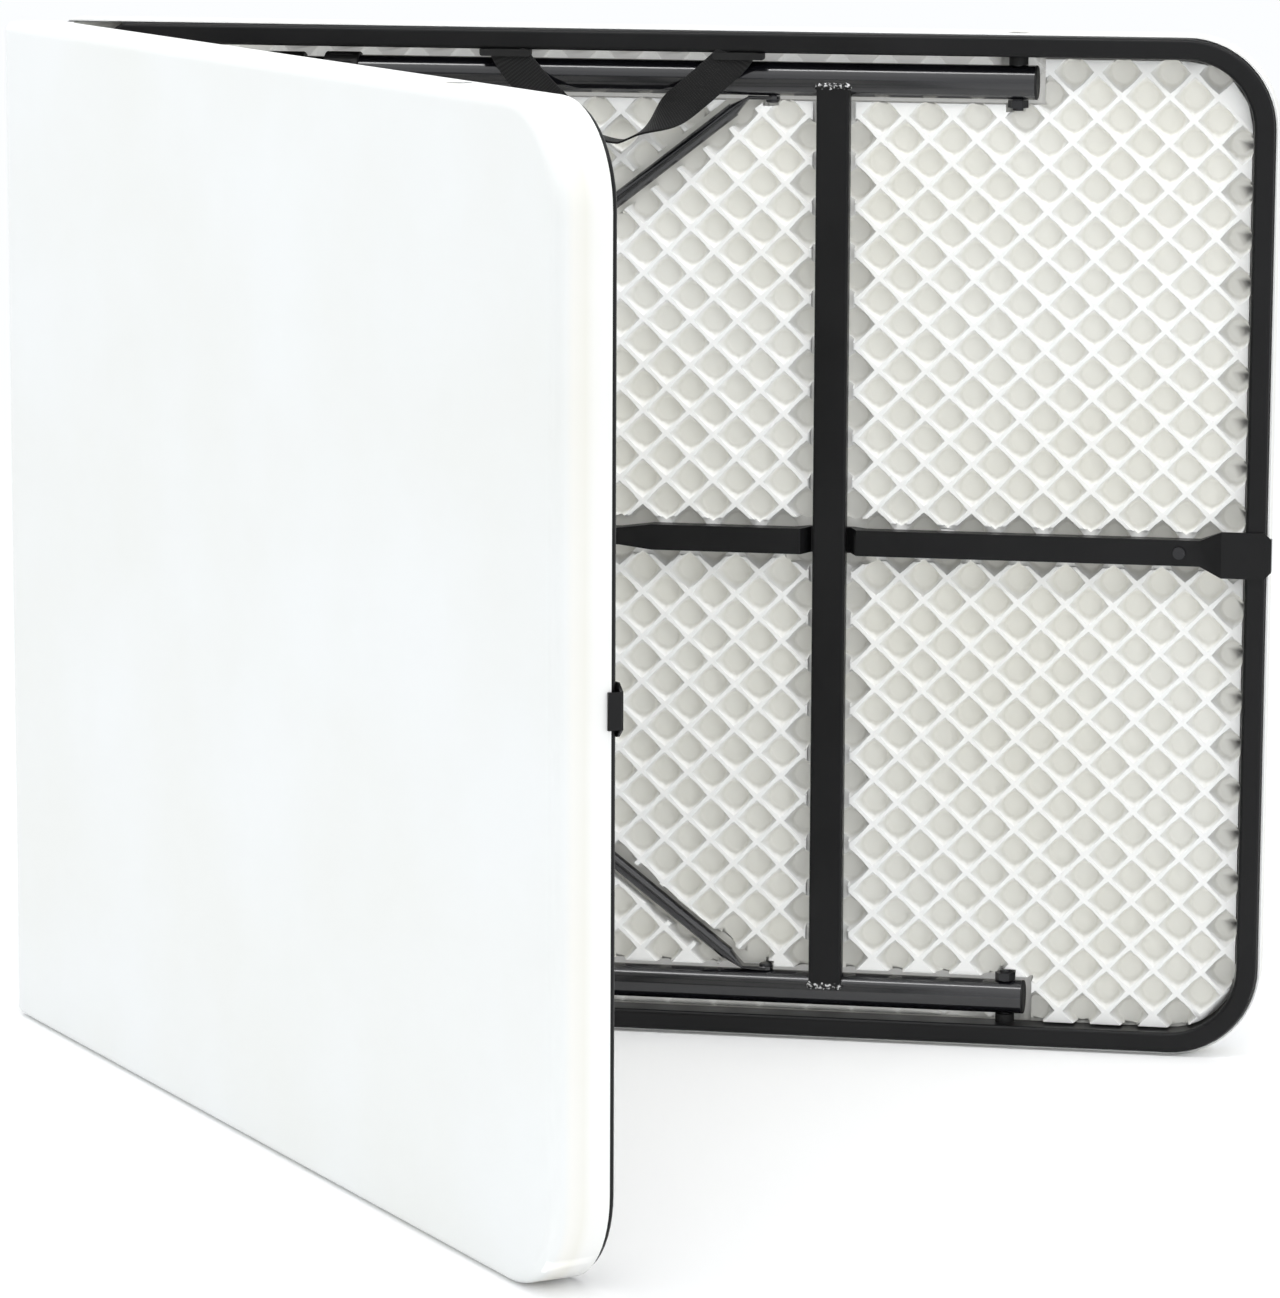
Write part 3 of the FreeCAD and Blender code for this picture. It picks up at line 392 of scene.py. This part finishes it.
def start_material(name, grain, cloud, bump_depth, bump_strength=1.0):
    """A Principled material with the speckle group on its bump; returns its main nodes."""
    material = bpy.data.materials.new(name)
    material.use_nodes = True
    tree = material.node_tree
    shader = tree.nodes["Principled BSDF"]
    group = tree.nodes.new("ShaderNodeGroup")
    group.node_tree = speckle
    group.inputs["Grain"].default_value = grain
    group.inputs["Cloud"].default_value = cloud
    bump = tree.nodes.new("ShaderNodeBump")
    bump.inputs["Distance"].default_value = bump_depth
    bump.inputs["Strength"].default_value = bump_strength
    link(tree, group, "Height", bump, "Height")
    link(tree, bump, "Normal", shader, "Normal")
    return material, tree, shader, group, bump


def ramp(tree, stops, interpolation="LINEAR"):
    node = tree.nodes.new("ShaderNodeValToRGB")
    node.color_ramp.interpolation = interpolation
    elements = node.color_ramp.elements
    while len(elements) < len(stops):
        elements.new(0.5)
    for element, (position, colour) in zip(elements, stops):
        element.position = position
        element.color = colour
    return node


def grey(value):
    return (value, value, value, 1)


plastic, tree, shader, group, bump = start_material(
    "white_moulded_plastic", 1500.0, 5.0, 0.00012, 0.5)
depth_value = tree.nodes.new("ShaderNodeAttribute")
depth_value.attribute_name = "depth"
depth_scale = tree.nodes.new("ShaderNodeMapRange")
depth_scale.inputs["From Min"].default_value = 0.0
depth_scale.inputs["From Max"].default_value = 0.050
link(tree, depth_value, "Fac", depth_scale, "Value")
# painted shade: the colour darkens with depth, beige-grey on the pocket floors and grey in the deep
# channels
painted_pocket_shade = ramp(tree, [
    (0.29, (0.90, 0.905, 0.90, 1)), (0.40, (0.89, 0.89, 0.875, 1)),
    (0.52, (0.835, 0.83, 0.785, 1)), (0.68, (0.86, 0.855, 0.825, 1)),
    (0.80, (0.825, 0.842, 0.84, 1))])
link(tree, depth_scale, "Result", painted_pocket_shade, "Fac")
cloud_tint = ramp(tree, [(0.35, (0.97, 0.965, 0.945, 1)), (0.65, (1, 1, 1, 1))])
link(tree, group, "Cloudiness", cloud_tint, "Fac")
tint = tree.nodes.new("ShaderNodeMix")
tint.data_type = "RGBA"
tint.blend_type = "MULTIPLY"
tint.inputs["Factor"].default_value = 1.0
tree.links.new(painted_pocket_shade.outputs["Color"], tint.inputs["A"])
tree.links.new(cloud_tint.outputs["Color"], tint.inputs["B"])
tree.links.new(tint.outputs["Result"], shader.inputs["Base Color"])
gloss = ramp(tree, [(0.3, grey(0.40)), (0.7, grey(0.52))])
link(tree, group, "Cloudiness", gloss, "Fac")
link(tree, gloss, "Color", shader, "Roughness")
shader.inputs["Specular IOR Level"].default_value = 0.4
# painted light: an emission that lifts the shaded floors, strongest in the deep channels and in
# pockets higher up the table
painted_light_value = tree.nodes.new("ShaderNodeAttribute")
painted_light_value.attribute_name = "painted_light"
link(tree, painted_light_value, "Fac", shader, "Emission Strength")
shader.inputs["Emission Color"].default_value = (1.0, 1.0, 0.98, 1)

for side, panel in panels.items():
    panel.data.materials.clear()
    panel.data.materials.append(plastic)
    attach(panel, side + "_half")
    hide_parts(side + "_top_panel")

# ---------------------------------------------------------------- powder-coated steel
# Rails, centre bars, leg tubes, crossbars and braces are thin steel tube, bent or crushed at
# their ends, welded, and coated black. The coat has a fine orange peel and rubs at its edges.


def coated_steel(name, colour, rough, peel, shine, coat=0.0):
    material, tree, shader, group, bump = start_material(name, 620.0, 11.0, peel, 0.35)
    tone = ramp(tree, [(0.3, tuple(c * 0.8 for c in colour) + (1,)),
                       (0.7, tuple(c * 1.3 for c in colour) + (1,))])
    link(tree, group, "Cloudiness", tone, "Fac")
    link(tree, tone, "Color", shader, "Base Color")
    gloss = ramp(tree, [(0.3, grey(rough * 0.85)), (0.7, grey(rough * 1.2))])
    link(tree, group, "Cloudiness", gloss, "Fac")
    link(tree, gloss, "Color", shader, "Roughness")
    shader.inputs["Specular IOR Level"].default_value = shine
    shader.inputs["Coat Weight"].default_value = coat
    shader.inputs["Coat Roughness"].default_value = 0.12
    return material


def finish_nodes(material, names):
    for name in names:
        mesh = nodes[name].data
        mesh.materials.clear()
        mesh.materials.append(material)


flat_steel = coated_steel("coated_flat_steel", (0.0072, 0.0072, 0.0076), 0.33, 0.00008, 0.20)
tube_steel = coated_steel(
    "coated_round_tube", (0.006, 0.006, 0.0078), 0.19, 0.00004, 0.45, coat=0.8)
sides = ("far", "near")
flat_parts = {"rail": "half", "centre_bar": "half", "leg_crossbar": "leg", "brace_slider": "slider"}
round_parts = {"leg_tube_lower": "leg", "leg_tube_upper": "leg",
               "brace_lower": "braces", "brace_upper": "braces"}


def smooth_steel(node, body, material):
    """A merged copy of a steel part, shaded smooth except over its real edges."""
    piece = solid_copy(node, node + "_steel")
    bpy.ops.object.select_all(action="DESELECT")
    bpy.context.view_layer.objects.active = piece
    piece.select_set(True)
    bpy.ops.object.shade_smooth_by_angle(angle=math.radians(38))
    apply_modifier(piece, "WEIGHTED_NORMAL", keep_sharp=True, weight=60)
    piece.data.materials.append(material)
    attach(piece, body)
    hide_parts(node)


for side in sides:
    for parts, material in ((flat_parts, flat_steel), (round_parts, tube_steel)):
        for part, body in parts.items():
            smooth_steel(side + "_" + part, side + "_" + body, material)
finish_nodes(tube_steel, [s + n for s in sides for n in (
    "_leg_extension_lower", "_leg_extension_upper")])

# ---------------------------------------------------------------- weld beads
# Each crossbar is welded to both leg tubes. A lumpy bead lies over the tube along each end of
# the crossbar, with the coat burnt thin on its crests.
bar_low, bar_high = to_local("far_leg_crossbar")
bead_radius = 0.0023
bead_lumps = 13


def weld_beads(name):
    """Both beads of one leg as one mesh, in the half's own directions."""
    inset, lift = 0.0085, 0.0009      # from the tube's inner side, and above the crossbar's face
    lumps = []
    first, last = bar_low.x + 0.001, bar_high.x - 0.001
    for end, sign in ((tube_high.z - inset, 1), (table_width - tube_high.z + inset, -1)):
        for index in range(bead_lumps):
            share = index / (bead_lumps - 1)
            wobble = math.sin(index * 2.4 + end * 30)
            place = (first + (last - first) * share, bar_low.y + lift + 0.0003 * wobble,
                     end + sign * 0.0006 * math.cos(index * 3.7))
            bpy.ops.object.select_all(action="DESELECT")
            bpy.ops.mesh.primitive_ico_sphere_add(subdivisions=2, radius=bead_radius,
                                                  location=place)
            lump = bpy.context.object
            lump.scale = (1.25, 0.8, 1.15 + 0.3 * wobble)
            bpy.ops.object.transform_apply(location=True, rotation=True, scale=True)
            lumps.append(lump)
    bpy.ops.object.select_all(action="DESELECT")
    for lump in lumps:
        lump.select_set(True)
    bpy.context.view_layer.objects.active = lumps[0]
    bpy.ops.object.join()
    bead = bpy.context.object
    bead.name = name
    bpy.ops.object.shade_smooth()
    return bead


weld_steel, tree, shader, group, bump = start_material("burnt_weld_bead", 900.0, 420.0, 0.0006, 0.9)
tone = ramp(tree, [(0.46, grey(0.008)), (0.53, grey(0.06)), (0.58, grey(0.65))])
link(tree, group, "Cloudiness", tone, "Fac")
link(tree, tone, "Color", shader, "Base Color")
shader.inputs["Roughness"].default_value = 0.45
shader.inputs["Metallic"].default_value = 0.5

for side, place in half_places.items():
    bead = weld_beads(side + "_weld_beads")
    bead.data.transform(place)
    if side == "near":
        bead.data.flip_normals()
    bead.data.materials.append(weld_steel)
    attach(bead, side + "_leg")

# ---------------------------------------------------------------- end clips of the centre bars
# Each centre bar ends in a tab folded round the end rail. A rounded rim is pressed up along the
# tab's edges, and its coat is a lighter grey than the coat beside it, a painted highlight.
tab_low, tab_high = to_local("far_centre_bar")
rim_long, rim_tall, rim_bar, rim_rise = 0.0215, 0.0300, 0.0011, 0.0006
rim_centre = Vector((tab_high.x - 0.0165, tab_low.y + rim_rise, mid_height))
rim_squareness = 5


def end_clip(name):
    """One rim, a ring squared off from a round one, in the half's own directions."""
    ring, bar = 0.5, 0.05
    bpy.ops.object.select_all(action="DESELECT")
    bpy.ops.mesh.primitive_torus_add(major_segments=48, minor_segments=8, major_radius=ring,
                                     minor_radius=bar, rotation=(math.radians(90), 0, 0))
    rim = bpy.context.object
    bpy.ops.object.transform_apply(location=True, rotation=True, scale=True)
    points = coordinates(rim.data)
    for index, (x, y, z) in enumerate(points):
        turn = math.atan2(z, x)
        spread = abs(math.cos(turn)) ** rim_squareness + abs(math.sin(turn)) ** rim_squareness
        rise = (math.hypot(x, z) - ring) / bar
        reach = spread ** (-1 / rim_squareness)
        points[index] = (
            rim_centre.x + math.cos(turn) * (rim_long / 2 * reach + rim_bar * rise),
            rim_centre.y + y / bar * rim_rise,
            rim_centre.z + math.sin(turn) * (rim_tall / 2 * reach + rim_bar * rise))
    set_coordinates(rim.data, points)
    rim.name = name
    bpy.ops.object.shade_smooth()
    return rim


# painted highlight: the rim's coat is a lighter grey than the same coat on the bar
rim_painted_highlight = coated_steel("coated_rim_painted_highlight", (0.030, 0.030, 0.032), 0.26, 0.00004, 0.9, coat=0.6)
for side, place in half_places.items():
    rim = end_clip(side + "_end_clip_rim")
    rim.data.transform(place)
    if side == "near":
        rim.data.flip_normals()
    rim.data.materials.append(rim_painted_highlight)
    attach(rim, side + "_half")

# ---------------------------------------------------------------- fasteners
# Hinge pins, pivot bolts, brace and slider rivets and bar screws are turned or headed steel with
# a thin black oxide, a little worn on the crowns of their heads.
fastener = coated_steel("blackened_fastener", (0.030, 0.030, 0.032), 0.30, 0.00005, 0.5)
fastener.node_tree.nodes["Principled BSDF"].inputs["Metallic"].default_value = 0.6
finish_nodes(fastener, ["hinge_pins"] + [s + n for s in sides for n in (
    "_pivot_bolts", "_brace_rivets", "_slider_rivets", "_bar_screws")])

# ---------------------------------------------------------------- moulded black parts
# Spacers, washers, end plugs, collars, feet and the strap keepers are moulded in black plastic
# with a fine matt texture.
black_plastic, tree, shader, group, bump = start_material(
    "black_moulded_plastic", 2200.0, 20.0, 0.00012, 0.6)
shader.inputs["Specular IOR Level"].default_value = 0.25
tone = ramp(tree, [(0.3, grey(0.007)), (0.7, grey(0.014))])
link(tree, group, "Cloudiness", tone, "Fac")
link(tree, tone, "Color", shader, "Base Color")
gloss = ramp(tree, [(0.3, grey(0.48)), (0.7, grey(0.62))])
link(tree, group, "Cloudiness", gloss, "Fac")
link(tree, gloss, "Color", shader, "Roughness")
finish_nodes(black_plastic, ["hinge_washers", "strap_keepers"] + [s + n for s in sides for n in (
    "_pivot_spacers", "_leg_end_plugs", "_leg_collars", "_foot_cap_lower", "_foot_cap_upper")])

# ---------------------------------------------------------------- carry strap
# A loop of black polypropylene webbing hangs from two keepers under the upper rail. It leaves
# the keepers flat, turns edge-on in the loop, and is folded and stitched at both ends.
strap_low, strap_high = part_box("carry_strap")
strap_width, strap_thickness = 0.026, 0.0018
strap_middle = (strap_low.x + strap_high.x) / 2
strap_span = strap_high.x - strap_low.x - strap_width
strap_top = strap_high.z
strap_drop = 0.066
strap_depth = hinge.y + 0.0035

strap_steps, strap_across = 120, 9
bpy.ops.object.select_all(action="DESELECT")
bpy.ops.mesh.primitive_grid_add(x_subdivisions=strap_steps, y_subdivisions=strap_across, size=1.0)
strap = bpy.context.object
strap.name = "carry_strap_webbing"
points = coordinates(strap.data)
placed = np.zeros_like(points)
for index, (along, across, _) in enumerate(points):
    t = max(-1.0, min(1.0, 2 * along))
    hang = 1.35 if t > 0 else 1.9
    share = 1.0 - abs(t) ** hang
    centre = Vector((strap_middle + strap_span / 2 * math.copysign(abs(t) ** 1.06, t),
                     strap_depth * (1 - share) + (hinge.y + 0.0002) * share,
                     strap_top - strap_drop * share))
    slope = hang * strap_drop * abs(t) ** (hang - 1.0) / (strap_span / 2)
    angle = math.atan(slope) * (1 if t > 0 else -1)
    if abs(t) > 0.9:
        blend = (abs(t) - 0.9) / 0.1
        angle += (math.copysign(math.pi / 2, t) - angle) * blend * blend
    turn = math.radians(90) * max(0.0, min(1.0, (share - 0.5) / 0.45))
    turn = turn * turn * (3 - 2 * turn / (math.pi / 2)) / (math.pi / 2)
    edgewise = (Vector((-math.sin(angle), 0, math.cos(angle))) * math.cos(turn)
                + Vector((0, 1, 0)) * math.sin(turn))
    placed[index] = centre + edgewise * (across * strap_width)
uv = strap.data.uv_layers.active or strap.data.uv_layers.new(name="UVMap")
for loop in strap.data.loops:
    along, across, _ = points[loop.vertex_index]
    uv.data[loop.index].uv = ((along + 0.5) * 0.245, (across + 0.5) * strap_width)
set_coordinates(strap.data, placed)
edit(strap)
bpy.ops.mesh.select_all(action="SELECT")
bpy.ops.mesh.normals_make_consistent(inside=False)
done()
apply_modifier(strap, "SOLIDIFY", thickness=strap_thickness * 0.8, offset=0.0)
apply_modifier(strap, "BEVEL", width=0.0004, segments=2, limit_method="ANGLE",
               angle_limit=math.radians(60))
bpy.ops.object.shade_smooth_by_angle(angle=math.radians(40))

webbing = bpy.data.materials.new("black_woven_webbing")
webbing.use_nodes = True
tree = webbing.node_tree
shader = tree.nodes["Principled BSDF"]
weave_map = tree.nodes.new("ShaderNodeUVMap")
weave_map.uv_map = strap.data.uv_layers.active.name
ribs = tree.nodes.new("ShaderNodeTexWave")
ribs.wave_type = "BANDS"
ribs.bands_direction = "X"
ribs.inputs["Scale"].default_value = 160.0
ribs.inputs["Distortion"].default_value = 0.6
threads = tree.nodes.new("ShaderNodeTexWave")
threads.bands_direction = "Y"
threads.inputs["Scale"].default_value = 230.0
threads.inputs["Distortion"].default_value = 0.8
link(tree, weave_map, "UV", ribs, "Vector")
link(tree, weave_map, "UV", threads, "Vector")
weave = tree.nodes.new("ShaderNodeMath")
weave.operation = "MULTIPLY"
tree.links.new(ribs.outputs["Fac"], weave.inputs[0])
tree.links.new(threads.outputs["Fac"], weave.inputs[1])
weave_bump = tree.nodes.new("ShaderNodeBump")
weave_bump.inputs["Distance"].default_value = 0.0004
weave_bump.inputs["Strength"].default_value = 0.8
link(tree, weave, "Value", weave_bump, "Height")
link(tree, weave_bump, "Normal", shader, "Normal")
weave_colour = ramp(tree, [(0.0, grey(0.004)), (0.8, grey(0.020))])
link(tree, weave, "Value", weave_colour, "Fac")
link(tree, weave_colour, "Color", shader, "Base Color")
shader.inputs["Roughness"].default_value = 0.75
shader.inputs["Specular IOR Level"].default_value = 0.25
shader.inputs["Sheen Weight"].default_value = 0.12
shader.inputs["Sheen Roughness"].default_value = 0.4
strap.data.materials.append(webbing)
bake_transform(strap)
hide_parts("carry_strap")
